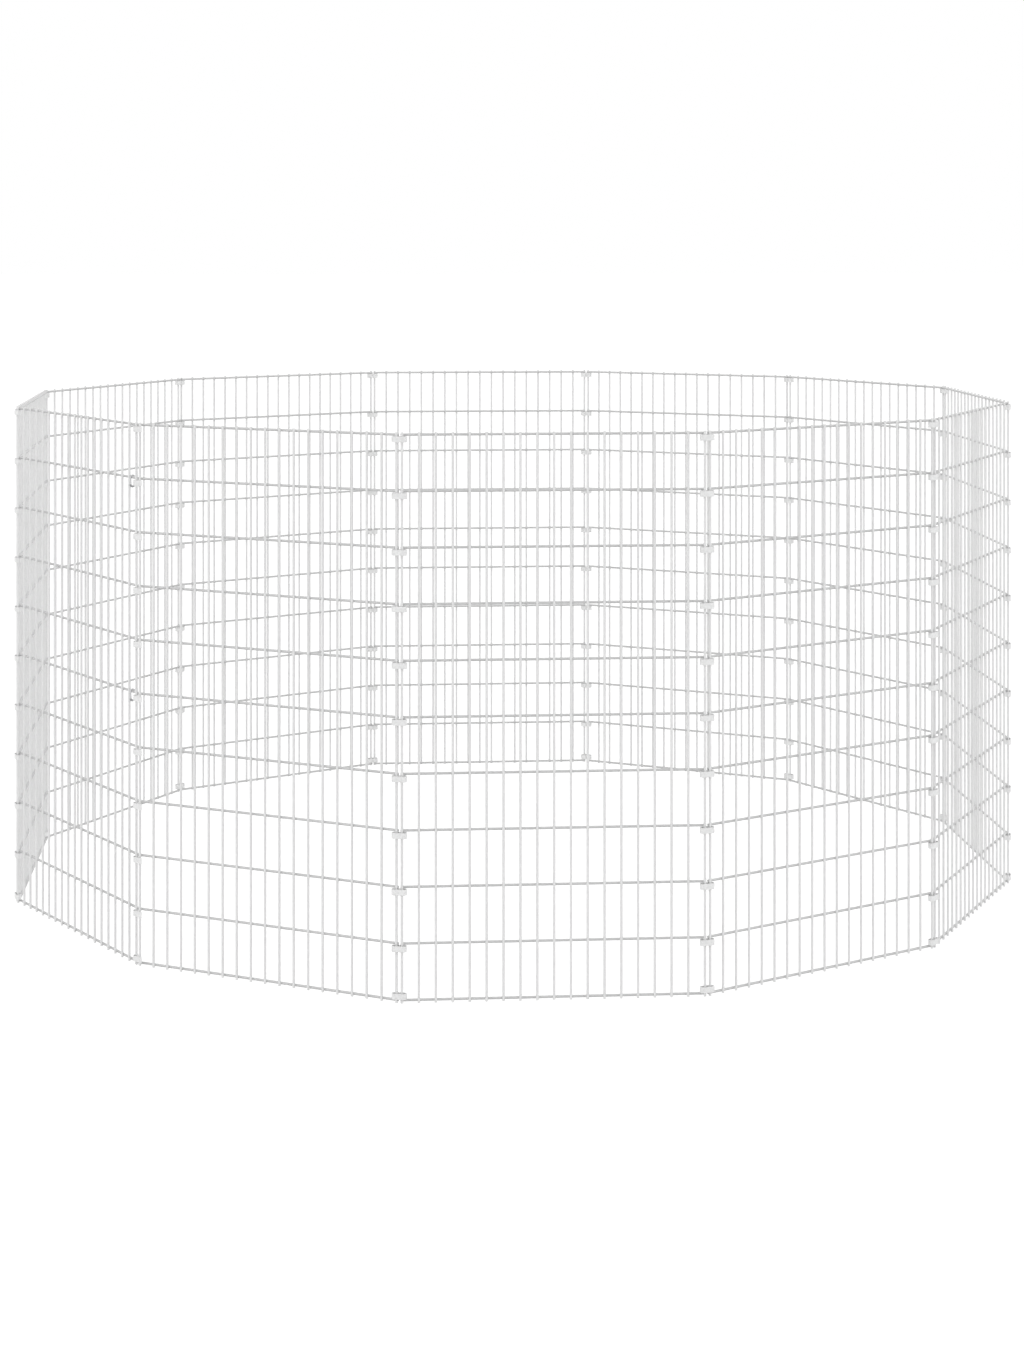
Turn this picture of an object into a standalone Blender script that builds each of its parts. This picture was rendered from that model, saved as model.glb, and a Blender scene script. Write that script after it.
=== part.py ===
# Folding animal pen: twelve welded wire panels in a ring, joined by loose strip clips.
# The ring stands on Z = 0 with its centre over the origin, and the panel at -Y faces forward.
# A panel's own frame has X along the panel, anticlockwise seen from above, Y into the pen and Z up.
import math

import bmesh
import bpy
from mathutils import Matrix, Vector

# Ring
panel_count = 12
front_azimuth = math.radians(-90)
front_panel = 3
fixed_panel = 8
gate_panel = 1

# Panel mesh
upright_count = 19
upright_pitch = 0.030
level_count = 11
level_pitch = 0.100
mesh_wire = 0.0044
edge_wire = 0.0048
section_gain = 1.1
weld_sink = 0.00045
mesh_gap = 0.0003
upright_stub = 0.0045
cross_stub = 0.0018

# Clips between panels, and the catches on the gate's free edge
hinge_spacing = 0.010
inward_fold_gap = 0.0004
outward_fold_gap = 0.0008
strip_thickness = 0.0012
strip_height = 0.0105
end_play = 0.0055
face_play = 0.0026
clip_corner = 0.0044
clip_gap = 0.0003
clip_play = 0.0001
catch_play = 0.0003
clip_levels = {"top": level_count - 1, "mid": level_count // 2, "low": 0}

# Hooks hung on the gate's cross wires
hook_wire = 0.0030
hook_drop = 0.0110
hook_bend = 0.0046
hook_weight = 1.35
hook_play = 0.0003
hook_mouth = 0.0045
hook_bend_steps = 5
hook_levels = {"upper": level_count - 2, "lower": level_count // 2}

# A wire's section is a square on its corner, a little wider across than the round wire.
mesh_half = mesh_wire * section_gain / 2
edge_half = edge_wire * section_gain / 2

turn_step = 2 * math.pi / panel_count
half_turn = turn_step / 2
panel_width = (upright_count - 1) * upright_pitch
panel_height = (level_count - 1) * level_pitch + 2 * upright_stub

# Panels and clips are the long and short sides of one polygon with equal angles.
clip_apothem = (panel_width + hinge_spacing * math.cos(half_turn)) / (2 * math.sin(half_turn))

# Depths into the pen, from the edge wires' axes.
mid_cross_depth = edge_half + mesh_half - weld_sink
upright_depth = mid_cross_depth - 2 * mesh_half - mesh_gap
rim_cross_depth = upright_depth + 2 * mesh_half - weld_sink

# Half the distance between two panels' edge wires when a joint is folded flat, either way.
inward_half_gap = mid_cross_depth + mesh_half + inward_fold_gap
outward_half_gap = max(edge_half, mesh_half - upright_depth) + outward_fold_gap

clip_half_length = hinge_spacing / 2 + edge_half + end_play + strip_thickness
clip_half_depth = edge_half + face_play + strip_thickness


def level_height(level):
    return upright_stub + level * level_pitch


def cross_depth(level):
    if level in (0, level_count - 1):
        return rim_cross_depth
    return mid_cross_depth


def clip_base(level):
    """Height of a clip's lower edge: it stands on the lowest cross wire and hangs below any other."""
    if level == 0:
        return level_height(level) + mesh_half + clip_gap
    return level_height(level) - mesh_half - clip_gap - strip_height


def joint_azimuth(joint):
    """Azimuth of the clips between this panel and the one before it."""
    return front_azimuth + (joint - front_panel - 0.5) * turn_step


def joint_frame(joint, along, depth=0.0):
    """Frame of a joint, square to its radius, moved anticlockwise and inwards from the joint's middle."""
    azimuth = joint_azimuth(joint)
    centre = Vector((math.cos(azimuth), math.sin(azimuth), 0)) * clip_apothem
    turn = Matrix.Rotation(azimuth + math.pi / 2, 4, "Z")
    return Matrix.Translation(centre) @ turn @ Matrix.Translation((along, depth, 0))


def folds_inward(joint):
    """Every second joint folds into the pen and the others fold out of it."""
    return (joint - fixed_panel) % 2 == 0


def fold_depth(joint):
    """Depth of a joint's fold axis: folded panels lie this axis' half gap away from it."""
    lean = hinge_spacing / 2 * math.sin(half_turn)
    if folds_inward(joint):
        return (inward_half_gap - lean) / math.cos(half_turn)
    return -(outward_half_gap + lean) / math.cos(half_turn)


def clip_shift(joint):
    """How far a clip sits off the joint's middle, so that it still holds the far edge wire in mid-fold."""
    reach = 2 * math.hypot(hinge_spacing / 2, fold_depth(joint))
    slack = clip_half_length - strip_thickness - edge_half
    return max(0.0, reach + clip_play - slack - hinge_spacing / 2)


def is_beyond_fixed(panel):
    """Whether a panel hangs on the side of the fixed panel that runs anticlockwise to the gate."""
    return panel > fixed_panel or panel <= gate_panel


def hangs_on(panel):
    """The joint a panel hangs on, the one nearer the fixed panel, and the side of it where the panel is."""
    if panel == fixed_panel or is_beyond_fixed(panel):
        return panel, 1
    return panel + 1, -1


def panel_frame(panel):
    """Frame of a panel, on the fold axis of the joint it hangs on."""
    joint, side = hangs_on(panel)
    return joint_frame(joint, 0.0, fold_depth(joint)) @ Matrix.Rotation(side * half_turn, 4, "Z")


def panel_start(panel):
    """Where the panel's first edge wire stands in its own frame."""
    joint, side = hangs_on(panel)
    wire = joint_frame(joint, side * hinge_spacing / 2).translation
    start = panel_frame(panel).inverted() @ wire
    if side < 0:
        start.x -= panel_width
    return start


def clear_scene():
    for obj in list(bpy.data.objects):
        bpy.data.objects.remove(obj, do_unlink=True)
    bpy.context.scene.unit_settings.system = "METRIC"
    bpy.context.scene.unit_settings.scale_length = 1.0


def make_material(name, colour, roughness, metallic):
    material = bpy.data.materials.new(name)
    material.use_nodes = True
    shader = material.node_tree.nodes["Principled BSDF"]
    shader.inputs["Base Color"].default_value = (*colour, 1.0)
    shader.inputs["Roughness"].default_value = roughness
    shader.inputs["Metallic"].default_value = metallic
    material.diffuse_color = (*colour, 1.0)
    return material


def mesh_from(bm, name, material):
    bmesh.ops.recalc_face_normals(bm, faces=bm.faces)
    mesh = bpy.data.meshes.new(name)
    bm.to_mesh(mesh)
    bm.free()
    mesh.materials.append(material)
    return mesh


def place(name, data, frame, parent=None):
    obj = bpy.data.objects.new(name, data)
    bpy.context.collection.objects.link(obj)
    if parent:
        obj.parent = parent
    obj.matrix_local = frame
    return obj


def add_wire(bm, start, end, half):
    """Adds a straight wire between two points, with its section's corners on the panel's axes."""
    run = Vector(end) - Vector(start)
    turn = run.to_track_quat("Z", "Y").to_matrix().to_4x4()
    section = bmesh.ops.create_circle(
        bm,
        cap_ends=True,
        segments=4,
        radius=half,
        matrix=Matrix.Translation(start) @ turn,
    )
    cap = section["verts"][0].link_faces[0]
    grown = bmesh.ops.extrude_face_region(bm, geom=[cap], use_keep_orig=True)
    moved = [item for item in grown["geom"] if isinstance(item, bmesh.types.BMVert)]
    bmesh.ops.translate(bm, verts=moved, vec=run)


def upright_wires(material):
    bm = bmesh.new()
    for index in range(upright_count):
        is_edge = index in (0, upright_count - 1)
        x = index * upright_pitch
        y = 0.0 if is_edge else upright_depth
        half = edge_half if is_edge else mesh_half
        add_wire(bm, (x, y, 0), (x, y, panel_height), half)
    return mesh_from(bm, "upright_wires", material)


def cross_wires(material):
    bm = bmesh.new()
    for level in range(level_count):
        y = cross_depth(level)
        z = level_height(level)
        add_wire(bm, (-cross_stub, y, z), (panel_width + cross_stub, y, z), mesh_half)
    return mesh_from(bm, "cross_wires", material)


def welded_panel(material):
    """One panel: the wires run into each other at the rim, and pass each other just clear inside it."""
    uprights = place("uprights", upright_wires(material), Matrix.Identity(4))
    crossings = place("crossings", cross_wires(material), Matrix.Identity(4))
    weld = uprights.modifiers.new("weld", "BOOLEAN")
    weld.operation = "UNION"
    weld.solver = "EXACT"
    weld.object = crossings
    bpy.context.view_layer.update()
    graph = bpy.context.evaluated_depsgraph_get()
    mesh = bpy.data.meshes.new_from_object(uprights.evaluated_get(graph))
    mesh.name = "welded_panel"
    bpy.data.objects.remove(uprights, do_unlink=True)
    bpy.data.objects.remove(crossings, do_unlink=True)
    return mesh


def moved_copy(mesh, name, shift):
    copy = mesh.copy()
    copy.name = name
    copy.transform(Matrix.Translation(shift))
    return copy


def oval_loop(bm, half_length, half_depth, corner):
    """Closed loop of an oval with eight sides, its four corners cut at 45 degrees."""
    outline = [
        (half_length, half_depth - corner),
        (half_length - corner, half_depth),
        (corner - half_length, half_depth),
        (-half_length, half_depth - corner),
        (-half_length, corner - half_depth),
        (corner - half_length, -half_depth),
        (half_length - corner, -half_depth),
        (half_length, corner - half_depth),
    ]
    verts = [bm.verts.new((x, y, 0)) for x, y in outline]
    return [bm.edges.new((verts[i - 1], verts[i])) for i in range(len(verts))]


def raise_faces(bm, height):
    grown = bmesh.ops.extrude_face_region(bm, geom=list(bm.faces), use_keep_orig=True)
    moved = [item for item in grown["geom"] if isinstance(item, bmesh.types.BMVert)]
    bmesh.ops.translate(bm, verts=moved, vec=(0, 0, height))


def clip_band(material):
    """Closed band round two edge wires, centred between them."""
    bm = bmesh.new()
    outer = oval_loop(bm, clip_half_length, clip_half_depth, clip_corner)
    inner = oval_loop(
        bm,
        clip_half_length - strip_thickness,
        clip_half_depth - strip_thickness,
        clip_corner - strip_thickness * (2 - math.sqrt(2)),
    )
    bmesh.ops.bridge_loops(bm, edges=outer + inner)
    raise_faces(bm, strip_height)
    return mesh_from(bm, "clip_band", material)


def offset_point(before, point, after, distance):
    """Point at this distance to the left of a corner of a path, where the two offset sides meet."""
    way_in = (point - before).normalized()
    way_out = (after - point).normalized()
    side_in = Vector((-way_in.y, way_in.x))
    side_out = Vector((-way_out.y, way_out.x))
    mitre = (side_in + side_out).normalized()
    return point + mitre * (distance / mitre.dot(side_in))


def catch_band(material):
    """Open strip: it wraps the gate's edge wire and ends in front of the next panel's edge wire."""
    wrap = edge_half + catch_play + strip_thickness / 2
    face = edge_half + face_play + strip_thickness / 2
    corner = wrap * 0.45
    path = [
        Vector((wrap, wrap)),
        Vector((-corner, wrap)),
        Vector((-wrap, corner)),
        Vector((-wrap, -corner)),
        Vector((-corner, -wrap)),
        Vector((corner, -wrap)),
        Vector((hinge_spacing / 2, -face)),
        Vector((hinge_spacing / 2 + clip_half_length, -face)),
    ]
    ends = [path[0] * 2 - path[1], *path, path[-1] * 2 - path[-2]]
    rows = []
    for side in (-strip_thickness / 2, strip_thickness / 2):
        rows.append([offset_point(*ends[i : i + 3], side) for i in range(len(path))])
    bm = bmesh.new()
    outline = rows[0] + rows[1][::-1]
    bm.faces.new([bm.verts.new((*point, 0)) for point in outline])
    raise_faces(bm, strip_height)
    return mesh_from(bm, "catch_band", material)


def arc(centre, radius, start, end, steps):
    """Points on an arc across Y and Z, with angles in degrees from Y towards Z."""
    points = []
    for step in range(steps + 1):
        angle = math.radians(start + (end - start) * step / steps)
        points.append((centre[0] + radius * math.cos(angle), centre[1] + radius * math.sin(angle)))
    return points


def hook_curve(material):
    """Open link round a cross wire: a narrow bend above it, a wide and heavier bend below."""
    eye_bend = mesh_half + hook_play + hook_wire / 2
    upper = arc((0, 0), eye_bend, 0, 180, hook_bend_steps)
    lower = arc((0, -hook_drop), hook_bend, 180, 360, hook_bend_steps)
    tip = (hook_bend, -eye_bend - hook_mouth)
    points = upper + lower + [tip]
    curve = bpy.data.curves.new("hook", "CURVE")
    curve.dimensions = "3D"
    curve.bevel_depth = hook_wire / 2
    curve.bevel_resolution = 1
    curve.use_fill_caps = True
    spline = curve.splines.new("POLY")
    spline.points.add(len(points) - 1)
    bottom = -hook_drop - hook_bend
    for target, (y, z) in zip(spline.points, points):
        target.co = (0, y, z, 1)
        target.radius = 1 + (hook_weight - 1) * max(0.0, z / bottom) ** 2
    curve.materials.append(material)
    return curve


def hook_frame(level):
    """Frame of a hook in the gate's frame: on a cross wire, beside the last upright but one."""
    beside = mesh_half + hook_play + hook_wire / 2 * hook_weight
    x = panel_width - upright_pitch + beside
    on_wire = Vector((x, cross_depth(level), level_height(level)))
    return Matrix.Translation(panel_start(gate_panel) + on_wire)


def build_panels(material):
    welded = welded_panel(material)
    meshes = {}
    panels = {}
    for panel in range(1, panel_count + 1):
        joint, side = hangs_on(panel)
        kind = (side, folds_inward(joint))
        if kind not in meshes:
            meshes[kind] = moved_copy(welded, f"welded_panel_{len(meshes)}", panel_start(panel))
        name = "gate_panel" if panel == gate_panel else f"panel_{panel:02d}"
        panels[panel] = place(name, meshes[kind], panel_frame(panel))
    return panels


def build_clips(material):
    centred = clip_band(material)
    bands = {}
    for joint in range(1, panel_count + 1):
        if joint == gate_panel + 1:
            continue
        side = 1 if is_beyond_fixed(joint) else -1
        kind = (side, folds_inward(joint))
        if kind not in bands:
            shift = side * (hinge_spacing / 2 + clip_shift(joint))
            bands[kind] = moved_copy(centred, f"clip_band_{len(bands)}", (shift, 0, 0))
        for word, level in clip_levels.items():
            lift = Matrix.Translation((0, 0, clip_base(level)))
            place(f"clip_{joint:02d}_{word}", bands[kind], lift @ joint_frame(joint, -side * hinge_spacing / 2))


def build_gate_fittings(gate, strip_material, hook_material):
    catch = catch_band(strip_material)
    to_gate = panel_frame(gate_panel).inverted()
    free_edge = joint_frame(gate_panel + 1, -hinge_spacing / 2)
    for word, level in clip_levels.items():
        lift = Matrix.Translation((0, 0, clip_base(level)))
        place(f"gate_catch_{word}", catch, to_gate @ lift @ free_edge, gate)
    hook = hook_curve(hook_material)
    for word, level in hook_levels.items():
        place(f"gate_hook_{word}", hook, hook_frame(level), gate)


def main():
    clear_scene()
    wire = make_material("galvanised_wire", (0.72, 0.73, 0.72), 0.42, 0.85)
    strip = make_material("galvanised_strip", (0.76, 0.77, 0.76), 0.38, 0.85)
    dull_zinc = make_material("hook_zinc", (0.46, 0.47, 0.48), 0.45, 0.9)
    panels = build_panels(wire)
    build_clips(strip)
    build_gate_fittings(panels[gate_panel], strip, dull_zinc)
    bpy.context.view_layer.update()


main()
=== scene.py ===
import math

import bmesh
import bpy
from mathutils import Matrix, Vector


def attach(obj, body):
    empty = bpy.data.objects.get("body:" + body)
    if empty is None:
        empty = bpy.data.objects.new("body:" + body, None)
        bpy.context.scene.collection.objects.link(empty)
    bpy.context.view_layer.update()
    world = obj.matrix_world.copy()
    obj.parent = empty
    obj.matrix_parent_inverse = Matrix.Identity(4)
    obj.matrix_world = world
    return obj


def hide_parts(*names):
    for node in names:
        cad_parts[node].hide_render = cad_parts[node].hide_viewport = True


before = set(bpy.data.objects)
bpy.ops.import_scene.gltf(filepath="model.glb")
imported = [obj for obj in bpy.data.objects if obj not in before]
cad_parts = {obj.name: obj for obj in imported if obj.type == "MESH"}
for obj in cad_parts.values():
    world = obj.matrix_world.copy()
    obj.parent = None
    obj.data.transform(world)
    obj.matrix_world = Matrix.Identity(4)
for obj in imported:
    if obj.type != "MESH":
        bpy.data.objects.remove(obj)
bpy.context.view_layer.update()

# Folding wire animal pen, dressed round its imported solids.
# A panel is made in its own place first: X along it, Y into the pen and Z up,
# with its first edge wire at X = 0.

ring = {
    "panels": 12,
    "frontAngle": math.radians(-90),
    "frontPanel": 3,
    "rootPanel": 8,
    "gate": 1,
    "openJoint": 2,  # the gate's free edge
    "wireSpacing": 0.010,  # between the two edge wires of a joint
    "panelWidth": 0.540,
    "levels": 11,
    "levelPitch": 0.100,
    "firstLevel": 0.0045,
}
turnStep = 2 * math.pi / ring["panels"]
halfTurn = turnStep / 2
jointRadius = (ring["panelWidth"] + ring["wireSpacing"] * math.cos(halfTurn)) / (2 * math.sin(halfTurn))


def jointPlace(joint, along=0.0):
    angle = ring["frontAngle"] + (joint - ring["frontPanel"] - 0.5) * turnStep
    middle = Vector((math.cos(angle), math.sin(angle), 0)) * jointRadius
    turn = Matrix.Rotation(angle + math.pi / 2, 4, "Z")
    return Matrix.Translation(middle) @ turn @ Matrix.Translation((along, 0, 0))


def panelPlace(panel):
    return jointPlace(panel, ring["wireSpacing"] / 2) @ Matrix.Rotation(halfTurn, 4, "Z")


def levelHeight(level):
    return ring["firstLevel"] + level * ring["levelPitch"]


# Finishes

zinc = {
    "driftDetail": 4.0,
    "grainDetail": 2.0,
    "grainHeight": 0.0002,
    "toneStart": 0.2,  # the tone runs from dark to light between these values of the pattern
    "toneEnd": 0.8,
}


def newMaterial(name):
    mat = bpy.data.materials.new(name)
    mat.use_nodes = True
    return mat, mat.node_tree.nodes, mat.node_tree.links, mat.node_tree.nodes["Principled BSDF"]


def addRamp(nodes, stops):
    ramp = nodes.new("ShaderNodeValToRGB")
    while len(ramp.color_ramp.elements) < len(stops):
        ramp.color_ramp.elements.new(0.5)
    for element, (position, colour) in zip(ramp.color_ramp.elements, stops):
        element.position = position
        element.color = (*colour, 1.0)
    return ramp


def zincFinish(name, look):
    # zinc coat: crystal patches, a slow drift of grey over the length and a faint grain
    mat, nodes, links, shader = newMaterial(name)
    coords = nodes.new("ShaderNodeTexCoord")
    patches = nodes.new("ShaderNodeTexVoronoi")
    patches.inputs["Scale"].default_value = look["patchScale"]
    patches.inputs["Randomness"].default_value = 1.0
    drift = nodes.new("ShaderNodeTexNoise")
    drift.inputs["Scale"].default_value = look["driftScale"]
    drift.inputs["Detail"].default_value = zinc["driftDetail"]
    grain = nodes.new("ShaderNodeTexNoise")
    grain.inputs["Scale"].default_value = look["grainScale"]
    grain.inputs["Detail"].default_value = zinc["grainDetail"]
    for texture in (patches, drift, grain):
        links.new(coords.outputs["Object"], texture.inputs["Vector"])
    patchTone = nodes.new("ShaderNodeSeparateColor")
    links.new(patches.outputs["Color"], patchTone.inputs["Color"])
    mixed = nodes.new("ShaderNodeMix")
    mixed.data_type = "FLOAT"
    mixed.inputs["Factor"].default_value = look["patchShare"]
    links.new(drift.outputs["Fac"], mixed.inputs["A"])
    links.new(patchTone.outputs["Red"], mixed.inputs["B"])
    tone = addRamp(nodes, [(zinc["toneStart"], look["dark"]), (zinc["toneEnd"], look["light"])])
    links.new(mixed.outputs["Result"], tone.inputs["Fac"])
    links.new(tone.outputs["Color"], shader.inputs["Base Color"])
    dullness = nodes.new("ShaderNodeMapRange")
    dullness.inputs["To Min"].default_value = look["roughness"][0]
    dullness.inputs["To Max"].default_value = look["roughness"][1]
    links.new(mixed.outputs["Result"], dullness.inputs["Value"])
    links.new(dullness.outputs["Result"], shader.inputs["Roughness"])
    bump = nodes.new("ShaderNodeBump")
    bump.inputs["Strength"].default_value = look["bump"]
    bump.inputs["Distance"].default_value = zinc["grainHeight"]
    links.new(grain.outputs["Fac"], bump.inputs["Height"])
    links.new(bump.outputs["Normal"], shader.inputs["Normal"])
    shader.inputs["Metallic"].default_value = look["metallic"]
    return mat


wireFinish = zincFinish("galvanisedWire", {
    "dark": (0.80, 0.80, 0.80), "light": (0.88, 0.88, 0.88),
    "patchScale": 210.0, "driftScale": 9.0, "grainScale": 1400.0, "patchShare": 0.25,
    "roughness": (0.42, 0.56), "bump": 0.15, "metallic": 0.46,
})
# painted shade: the cross wires are the same zinc as the uprights, painted darker for how the light falls
# on them
crossShadeFinish = zincFinish("crossWirePaintedShade", {
    "dark": (0.65, 0.65, 0.65), "light": (0.73, 0.73, 0.73),
    "patchScale": 210.0, "driftScale": 9.0, "grainScale": 1400.0, "patchShare": 0.25,
    "roughness": (0.46, 0.60), "bump": 0.15, "metallic": 0.3,
})
weldFinish = zincFinish("weldZinc", {
    "dark": (0.72, 0.72, 0.72), "light": (0.82, 0.82, 0.82),
    "patchScale": 500.0, "driftScale": 40.0, "grainScale": 1800.0, "patchShare": 0.5,
    "roughness": (0.45, 0.62), "bump": 0.4, "metallic": 0.5,
})
stripFinish = zincFinish("galvanisedStrip", {
    "dark": (0.80, 0.80, 0.80), "light": (0.90, 0.90, 0.90),
    "patchScale": 330.0, "driftScale": 25.0, "grainScale": 1600.0, "patchShare": 0.55,
    "roughness": (0.30, 0.48), "bump": 0.2, "metallic": 0.5,
})
# painted shade: the inside of a band is the same zinc as its outside, painted darker for the shade within
# it
insideShadeFinish = zincFinish("stripInsidePaintedShade", {
    "dark": (0.76, 0.76, 0.76), "light": (0.88, 0.88, 0.88),
    "patchScale": 330.0, "driftScale": 25.0, "grainScale": 1600.0, "patchShare": 0.55,
    "roughness": (0.50, 0.70), "bump": 0.3, "metallic": 0.3,
})
hookFinish = zincFinish("hookZinc", {
    "dark": (0.66, 0.66, 0.67), "light": (0.78, 0.78, 0.79),
    "patchScale": 260.0, "driftScale": 60.0, "grainScale": 1800.0, "patchShare": 0.4,
    "roughness": (0.38, 0.55), "bump": 0.3, "metallic": 0.5,
})
# painted shade: the hook's lower bend is the same zinc as the rest, painted much darker for the shadow it
# hangs in
hookBendShadeFinish = zincFinish("hookBendPaintedShade", {
    "dark": (0.34, 0.34, 0.35), "light": (0.46, 0.46, 0.47),
    "patchScale": 260.0, "driftScale": 60.0, "grainScale": 1800.0, "patchShare": 0.4,
    "roughness": (0.38, 0.55), "bump": 0.3, "metallic": 0.5,
})
print("finishes made")


# Welded panels

wires = {
    "uprights": 19,
    "pitch": 0.030,
    "thickness": 0.0048,
    "edgeThickness": 0.0050,
    "sides": 12,
    "cutEdge": 0.0004,  # rounding of the cut ends
    "height": 1.009,
    "crossStub": 0.0018,  # how far the cross wires pass the edge wires
    "crossDepth": 0.0044,  # both depths are towards the pen, from the middle of the edge wires
    "uprightDepth": 0.0002,
}
weld = {"length": 0.0058, "width": 0.0058, "depth": 0.0024, "segments": 8, "rings": 4}
crispAngle = math.radians(40)


def keepCrisp(bm):
    # shading stays smooth round a wire or strip and breaks at its rims
    for edge in bm.edges:
        if edge.calc_face_angle(0) > crispAngle:
            edge.smooth = False


def straightWire(bm, start, end, thickness):
    run = Vector(end) - Vector(start)
    turn = run.to_track_quat("Z", "Y").to_matrix().to_4x4()
    made = bmesh.ops.create_cone(
        bm, cap_ends=True, cap_tris=False, segments=wires["sides"],
        radius1=thickness / 2, radius2=thickness / 2, depth=run.length,
        matrix=Matrix.Translation((Vector(start) + Vector(end)) / 2) @ turn,
    )
    caps = {face for vert in made["verts"] for face in vert.link_faces if len(face.verts) > 4}
    rims = list({edge for face in caps for edge in face.edges})
    bmesh.ops.bevel(
        bm, geom=rims, offset=wires["cutEdge"], affect="EDGES", segments=1, profile=0.5, material=-1,
    )


def panelMesh():
    bm = bmesh.new()
    last = wires["uprights"] - 1
    for index in range(wires["uprights"]):
        onEdge = index in (0, last)
        x = index * wires["pitch"]
        y = 0.0 if onEdge else wires["uprightDepth"]
        thickness = wires["edgeThickness" if onEdge else "thickness"]
        straightWire(bm, (x, y, 0), (x, y, wires["height"]), thickness)
    uprightFaces = set(bm.faces)
    for level in range(ring["levels"]):
        z = levelHeight(level)
        y = wires["crossDepth"]
        farEnd = ring["panelWidth"] + wires["crossStub"]
        straightWire(bm, (-wires["crossStub"], y, z), (farEnd, y, z), wires["thickness"])
    # uprights take the wire finish, cross wires the darker cross finish with its painted shade
    for face in bm.faces:
        face.smooth = len(face.verts) == 4
        face.material_index = 0 if face in uprightFaces else 2
    keepCrisp(bm)
    size = Matrix.Diagonal((weld["length"] / 2, weld["depth"] / 2, weld["width"] / 2, 1))
    contact = (wires["crossDepth"] + wires["uprightDepth"]) / 2
    for index in range(wires["uprights"]):
        for level in range(ring["levels"]):
            spot = Matrix.Translation((index * wires["pitch"], contact, levelHeight(level)))
            made = bmesh.ops.create_uvsphere(
                bm, u_segments=weld["segments"], v_segments=weld["rings"], radius=1.0, matrix=spot @ size,
            )
            for face in {face for vert in made["verts"] for face in vert.link_faces}:
                face.material_index = 1
                face.smooth = True
    mesh = bpy.data.meshes.new("weldedPanel")
    bm.to_mesh(mesh)
    bm.free()
    for finish in (wireFinish, weldFinish, crossShadeFinish):
        mesh.materials.append(finish)
    return mesh


def addPiece(name, mesh, body):
    piece = bpy.data.objects.new(name, mesh)
    bpy.context.scene.collection.objects.link(piece)
    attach(piece, body)
    return piece


panelPattern = panelMesh()
for panel in range(1, ring["panels"] + 1):
    isGate = panel == ring["gate"]
    mesh = panelPattern.copy()
    mesh.transform(panelPlace(panel))
    name = "gateWires" if isGate else f"panel{panel:02d}Wires"
    piece = addPiece(name, mesh, "gate" if isGate else f"panel_{panel:02d}")
    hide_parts("gate_panel" if isGate else f"panel_{panel:02d}")
bpy.data.meshes.remove(panelPattern)
print("panels made")


# Strip clips

clip = {
    "halfLength": 0.01434,
    "halfDepth": 0.00644,
    "thickness": 0.0012,
    "height": 0.0105,
    "gap": 0.0004,  # between a clip and the cross wire over it
    "shift": 0.00077,  # off the middle at the joints that fold inward, towards the wire that slides
    "seam": 0.0005,
    "endSegments": 16,
    "softEdge": 0.00025,
    "rimAngle": math.radians(60),
    "insideShare": 0.3,  # how squarely a face must look towards the band's middle, at the least, to take the painted shade of the inside
}


def clipBase(level):
    wireHalf = wires["thickness"] / 2
    if level == 0:
        return levelHeight(level) + wireHalf + clip["gap"]  # the lowest clip stands on its wire
    return levelHeight(level) - wireHalf - clip["gap"] - clip["height"]


def thickenStrip(bm, edges):
    # raises a row of edges to a strip and gives it its thickness and soft rims
    grown = bmesh.ops.extrude_edge_only(bm, edges=edges)["geom"]
    bmesh.ops.translate(
        bm, verts=[item for item in grown if isinstance(item, bmesh.types.BMVert)],
        vec=(0, 0, clip["height"]),
    )
    bmesh.ops.recalc_face_normals(bm, faces=bm.faces)
    bmesh.ops.solidify(bm, geom=list(bm.faces), thickness=clip["thickness"])
    bmesh.ops.recalc_face_normals(bm, faces=bm.faces)
    rims = []
    for edge in bm.edges:
        if len(edge.link_faces) == 2 and edge.calc_face_angle(0) > clip["rimAngle"]:
            rims.append(edge)
    bmesh.ops.bevel(
        bm, geom=rims, offset=clip["softEdge"], affect="EDGES", segments=1, profile=0.5, material=-1,
    )
    for face in bm.faces:
        face.smooth = True
    keepCrisp(bm)


def bandMesh():
    # oval band round both edge wires, its ends meeting at a seam on the side towards the pen
    bm = bmesh.new()
    radius = clip["halfDepth"] - clip["thickness"] / 2
    half = math.pi / clip["endSegments"]
    made = bmesh.ops.create_circle(
        bm, segments=clip["endSegments"], radius=radius / math.cos(half),
        matrix=Matrix.Rotation(half, 4, "Z"),
    )
    spread = clip["halfLength"] - clip["halfDepth"]
    for side in (-1, 1):
        bmesh.ops.translate(
            bm, verts=[vert for vert in made["verts"] if vert.co.x * side > 0], vec=(side * spread, 0, 0),
        )
    inner = max(bm.edges, key=lambda edge: edge.calc_length() + edge.verts[0].co.y)
    cut = bmesh.ops.subdivide_edges(bm, edges=[inner], cuts=2)
    tips = [item for item in cut["geom_inner"] if isinstance(item, bmesh.types.BMVert)]
    for tip in tips:
        tip.co.x = math.copysign(clip["seam"] / 2, tip.co.x)
    seam = [edge for edge in bm.edges if edge.verts[0] in tips and edge.verts[1] in tips]
    bmesh.ops.delete(bm, geom=seam, context="EDGES_FACES")
    thickenStrip(bm, list(bm.edges))
    # faces that look back towards the band's middle take the inside finish, a painted shade
    for face in bm.faces:
        outward = Vector((*face.calc_center_median().xy, 0))
        looksBack = face.normal.dot(outward) < -clip["insideShare"] * outward.length
        face.material_index = 1 if looksBack else 0
    mesh = bpy.data.meshes.new("clipBand")
    bm.to_mesh(mesh)
    bm.free()
    return mesh


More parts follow.
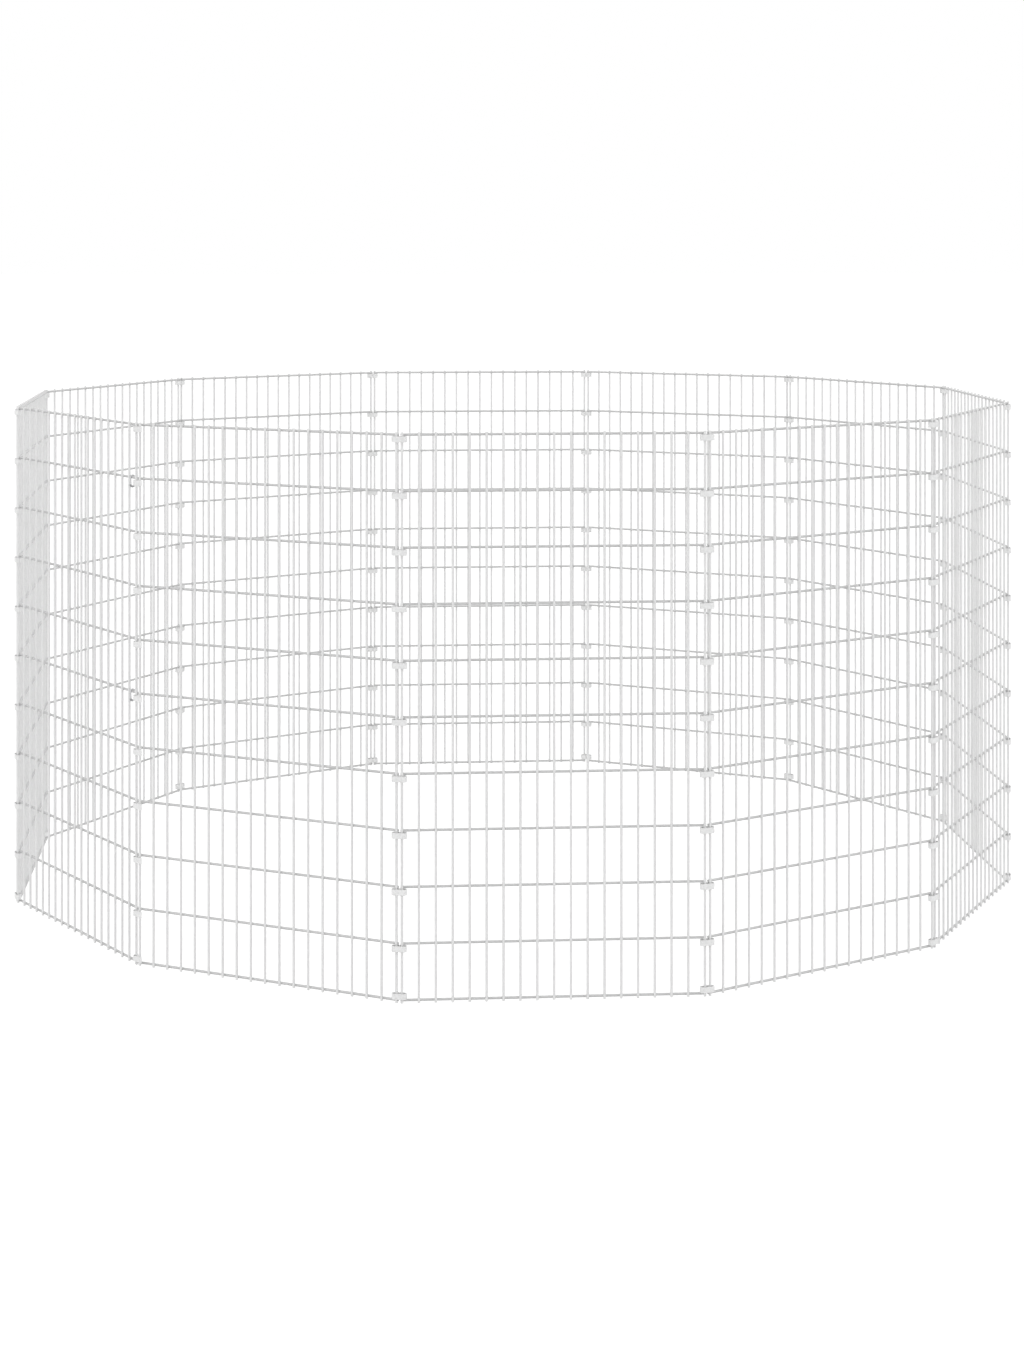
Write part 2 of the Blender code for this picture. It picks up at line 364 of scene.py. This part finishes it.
def joinLevels(name, pattern, place):
    # one piece for the eleven strips of a joint
    bm = bmesh.new()
    for level in range(ring["levels"]):
        copy = pattern.copy()
        copy.transform(place @ Matrix.Translation((0, 0, clipBase(level))))
        bm.from_mesh(copy)
        bpy.data.meshes.remove(copy)
    mesh = bpy.data.meshes.new(name)
    bm.to_mesh(mesh)
    bm.free()
    mesh.materials.append(stripFinish)
    mesh.materials.append(insideShadeFinish)
    return mesh


bandPattern = bandMesh()
for joint in range(1, ring["panels"] + 1):
    if joint == ring["openJoint"]:
        continue
    name = f"joint{joint:02d}Clips"
    foldsInward = (joint - ring["rootPanel"]) % 2 == 0
    beyondRoot = joint > ring["rootPanel"] or joint == ring["gate"]
    shift = clip["shift"] * foldsInward * (1 if beyondRoot else -1)
    piece = addPiece(name, joinLevels(name, bandPattern, jointPlace(joint, shift)), f"clips_{joint:02d}")
    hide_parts(*[f"clip_{joint:02d}_{where}" for where in ("top", "mid", "low")])
bpy.data.meshes.remove(bandPattern)


catch = {
    "play": 0.0003,
    "lip": 0.0014,  # half of the pressed part's length
    "spread": 0.0041,  # the round end's centre, on the gate's side of the joint
    "reach": 0.0155,  # end of the strip past the joint's middle
    "bendSteps": 8,
}


def catchMesh():
    # open band: pressed onto the gate's edge wire on the inner side, it goes round that wire
    # and ends in front of the next panel's edge wire
    bm = bmesh.new()
    press = wires["edgeThickness"] / 2 + catch["play"] + clip["thickness"] / 2
    radius = clip["halfDepth"] - clip["thickness"] / 2
    tipX = catch["lip"] - ring["wireSpacing"] / 2
    row = [bm.verts.new((tipX, press, 0))]
    for spot in ((tipX - 2 * catch["lip"], press), (-catch["spread"] - catch["lip"], radius)):
        row = bmesh.ops.extrude_vert_indiv(bm, verts=row)["verts"]
        row[0].co = (*spot, 0)
    turned = bmesh.ops.spin(
        bm, geom=row, cent=(row[0].co.x, 0, 0), axis=(0, 0, 1), angle=math.pi, steps=catch["bendSteps"],
        use_merge=False,
    )
    row = [item for item in turned["geom_last"] if isinstance(item, bmesh.types.BMVert)]
    row = bmesh.ops.extrude_vert_indiv(bm, verts=row)["verts"]
    row[0].co.x = catch["reach"]
    thickenStrip(bm, list(bm.edges))
    mesh = bpy.data.meshes.new("catchStrip")
    bm.to_mesh(mesh)
    bm.free()
    return mesh


catchPattern = catchMesh()
catchesMesh = joinLevels("gateCatches", catchPattern, jointPlace(ring["openJoint"]))
catches = addPiece("gateCatches", catchesMesh, "gate")
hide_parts("gate_catch_top", "gate_catch_mid", "gate_catch_low")
bpy.data.meshes.remove(catchPattern)
print("clips made")


# Hooks on the gate

hook = {
    "wire": 0.0030,
    "drop": 0.0130,  # from the cross wire's middle to the lower bend's
    "bend": 0.0040,
    "gain": 1.35,  # how much heavier the lower bend is
    "play": 0.0003,
    "gap": 0.0003,  # from the upright that it hangs beside, over the play
    "mouth": 0.0045,  # from the eye down to the open end
    "sides": 14,
    "bendSteps": 14,
    "levels": {"Upper": 9, "Lower": 5},
}


def hookMesh():
    # open link hung on a cross wire: a narrow bend above it and a wide, heavier bend below
    bm = bmesh.new()
    eye = wires["thickness"] / 2 + hook["play"] + hook["wire"] / 2
    made = bmesh.ops.create_circle(
        bm, cap_ends=True, segments=hook["sides"], radius=hook["wire"] / 2,
        matrix=Matrix.Translation((0, hook["bend"], -eye - hook["mouth"])),
    )
    face = made["verts"][0].link_faces[0]

    def spinFace(face, centre, angle, steps):
        turned = bmesh.ops.spin(
            bm, geom=[face], cent=centre, axis=(1, 0, 0), angle=angle, steps=steps, use_merge=False,
        )
        return next(item for item in turned["geom_last"] if isinstance(item, bmesh.types.BMFace))

    def pushFace(face, vec):
        grown = bmesh.ops.extrude_face_region(bm, geom=[face])["geom"]
        bmesh.ops.translate(
            bm, verts=[item for item in grown if isinstance(item, bmesh.types.BMVert)], vec=vec,
        )
        return next(item for item in grown if isinstance(item, bmesh.types.BMFace))

    face = pushFace(face, (0, 0, eye + hook["mouth"] - hook["drop"]))
    face = spinFace(face, (0, 0, -hook["drop"]), -math.pi, hook["bendSteps"])
    face = pushFace(face, (0, hook["bend"] - eye, hook["drop"]))
    spinFace(face, (0, 0, 0), -math.pi, hook["bendSteps"])
    bmesh.ops.recalc_face_normals(bm, faces=bm.faces)
    bm.normal_update()
    lowest = hook["drop"] + hook["bend"]
    for vert in list(bm.verts):
        grow = (hook["gain"] - 1) * hook["wire"] / 2 * max(0.0, -vert.co.z / lowest) ** 2
        vert.co += vert.normal * grow
    for item in bm.faces:
        item.smooth = len(item.verts) == 4
        # faces of the lower bend take the darker bend finish, a painted shade
        item.material_index = 1 if item.calc_center_median().z < -hook["drop"] else 0
    keepCrisp(bm)
    mesh = bpy.data.meshes.new("gateHook")
    bm.to_mesh(mesh)
    bm.free()
    return mesh


hookPattern = hookMesh()
for where, level in hook["levels"].items():
    beside = wires["thickness"] / 2 + hook["play"] + hook["wire"] / 2 * hook["gain"] + hook["gap"]
    lastButOne = ring["panelWidth"] - wires["pitch"]
    spot = Vector((lastButOne + beside, wires["crossDepth"], levelHeight(level)))
    mesh = hookPattern.copy()
    mesh.transform(panelPlace(ring["gate"]) @ Matrix.Translation(spot))
    mesh.materials.append(hookFinish)
    mesh.materials.append(hookBendShadeFinish)
    piece = addPiece(f"gateHook{where}", mesh, f"hook_{where.lower()}")
    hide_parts(f"gate_hook_{where.lower()}")
bpy.data.meshes.remove(hookPattern)
print("hooks made")


# Floor, light and camera

studio = {
    "floorSize": 160.0,
    "floorTone": 0.32,
    "floorGlow": 0.90,  # white seen by the camera and by the metal, over the lit floor
    "skyAtHorizon": 1.30,
    "skyOverhead": 0.52,
    "lampAim": (0, 0, 0.5),
}


def seesBackground(nodes, links):
    # 1 for the rays that should meet plain white: from the camera, and off metal or glass
    path = nodes.new("ShaderNodeLightPath")
    either = path.outputs["Is Camera Ray"]
    for other in ("Is Glossy Ray", "Is Transmission Ray"):
        biggest = nodes.new("ShaderNodeMath")
        biggest.operation = "MAXIMUM"
        links.new(either, biggest.inputs[0])
        links.new(path.outputs[other], biggest.inputs[1])
        either = biggest.outputs["Value"]
    return either


def floorFinish():
    mat, nodes, links, shader = newMaterial("paleFloor")
    nodes.remove(shader)
    matte = nodes.new("ShaderNodeBsdfDiffuse")
    matte.inputs["Color"].default_value = (studio["floorTone"],) * 3 + (1.0,)
    glow = nodes.new("ShaderNodeEmission")
    lift = nodes.new("ShaderNodeMath")
    lift.operation = "MULTIPLY"
    lift.inputs[1].default_value = studio["floorGlow"]
    links.new(seesBackground(nodes, links), lift.inputs[0])
    links.new(lift.outputs["Value"], glow.inputs["Strength"])
    both = nodes.new("ShaderNodeAddShader")
    links.new(matte.outputs["BSDF"], both.inputs[0])
    links.new(glow.outputs["Emission"], both.inputs[1])
    links.new(both.outputs["Shader"], nodes["Material Output"].inputs["Surface"])
    return mat


bm = bmesh.new()
bmesh.ops.create_grid(bm, x_segments=1, y_segments=1, size=studio["floorSize"] / 2)
floorMesh = bpy.data.meshes.new("floor")
bm.to_mesh(floorMesh)
bm.free()
floorMesh.materials.append(floorFinish())
floor = bpy.data.objects.new("floor", floorMesh)
bpy.context.scene.collection.objects.link(floor)

world = bpy.data.worlds.new("studioSky")
world.use_nodes = True
skyNodes, skyLinks = world.node_tree.nodes, world.node_tree.links
sky = skyNodes["Background"]
sky.inputs["Color"].default_value = (1.0, 1.0, 1.0, 1.0)
direction = skyNodes.new("ShaderNodeTexCoord")
rise = skyNodes.new("ShaderNodeSeparateXYZ")
skyLinks.new(direction.outputs["Generated"], rise.inputs["Vector"])
# lighter round the horizon than overhead, like a studio's walls
fade = skyNodes.new("ShaderNodeMapRange")
fade.inputs["To Min"].default_value = studio["skyAtHorizon"]
fade.inputs["To Max"].default_value = studio["skyOverhead"]
skyLinks.new(rise.outputs["Z"], fade.inputs["Value"])
skyLinks.new(fade.outputs["Result"], sky.inputs["Strength"])
white = skyNodes.new("ShaderNodeBackground")
white.inputs["Color"].default_value = (1.0, 1.0, 1.0, 1.0)
white.inputs["Strength"].default_value = 1.0
pick = skyNodes.new("ShaderNodeMixShader")
skyLinks.new(seesBackground(skyNodes, skyLinks), pick.inputs["Fac"])
skyLinks.new(sky.outputs["Background"], pick.inputs[1])
skyLinks.new(white.outputs["Background"], pick.inputs[2])
skyLinks.new(pick.outputs["Shader"], skyNodes["World Output"].inputs["Surface"])
bpy.context.scene.world = world

lamps = {
    "keyLamp": {"spot": (-8.7, -5.4, 4.8), "size": 5.0, "power": 100.0},
    "fillLamp": {"spot": (8.7, -5.4, 4.6), "size": 5.0, "power": 85.0},
    "backLamp": {"spot": (2.7, 9.0, 6.0), "size": 5.0, "power": 56.0},
}
for name, lamp in lamps.items():
    light = bpy.data.lights.new(name, "AREA")
    light.shape = "SQUARE"
    light.size = lamp["size"]
    light.energy = lamp["power"]
    source = bpy.data.objects.new(name, light)
    source.location = lamp["spot"]
    aim = Vector(studio["lampAim"]) - Vector(lamp["spot"])
    source.rotation_euler = aim.to_track_quat("-Z", "Y").to_euler()
    bpy.context.scene.collection.objects.link(source)

view = {
    "spot": (-0.4259, -5.589, 1.3598),
    "yaw": 4.398,  # degrees towards +X
    "pictureHeight": 1365,
    "focalPixels": 2581.2,
    "horizonPixels": 233.7,  # from the picture's top, which sets the camera's shift
    "sensor": 24.0,
    "farEnd": 500.0,
}
camera = bpy.data.cameras.new("camera")
camera.sensor_fit = "VERTICAL"
camera.sensor_height = view["sensor"]
camera.lens = view["focalPixels"] / view["pictureHeight"] * camera.sensor_height
camera.shift_y = -(view["pictureHeight"] / 2 - view["horizonPixels"]) / view["pictureHeight"]
camera.clip_end = view["farEnd"]
viewer = bpy.data.objects.new("camera", camera)
viewer.location = view["spot"]
viewer.rotation_euler = (math.radians(90), 0, math.radians(-view["yaw"]))
bpy.context.scene.collection.objects.link(viewer)
bpy.context.scene.camera = viewer
bpy.context.scene.view_settings.view_transform = "Standard"
print("studio made")
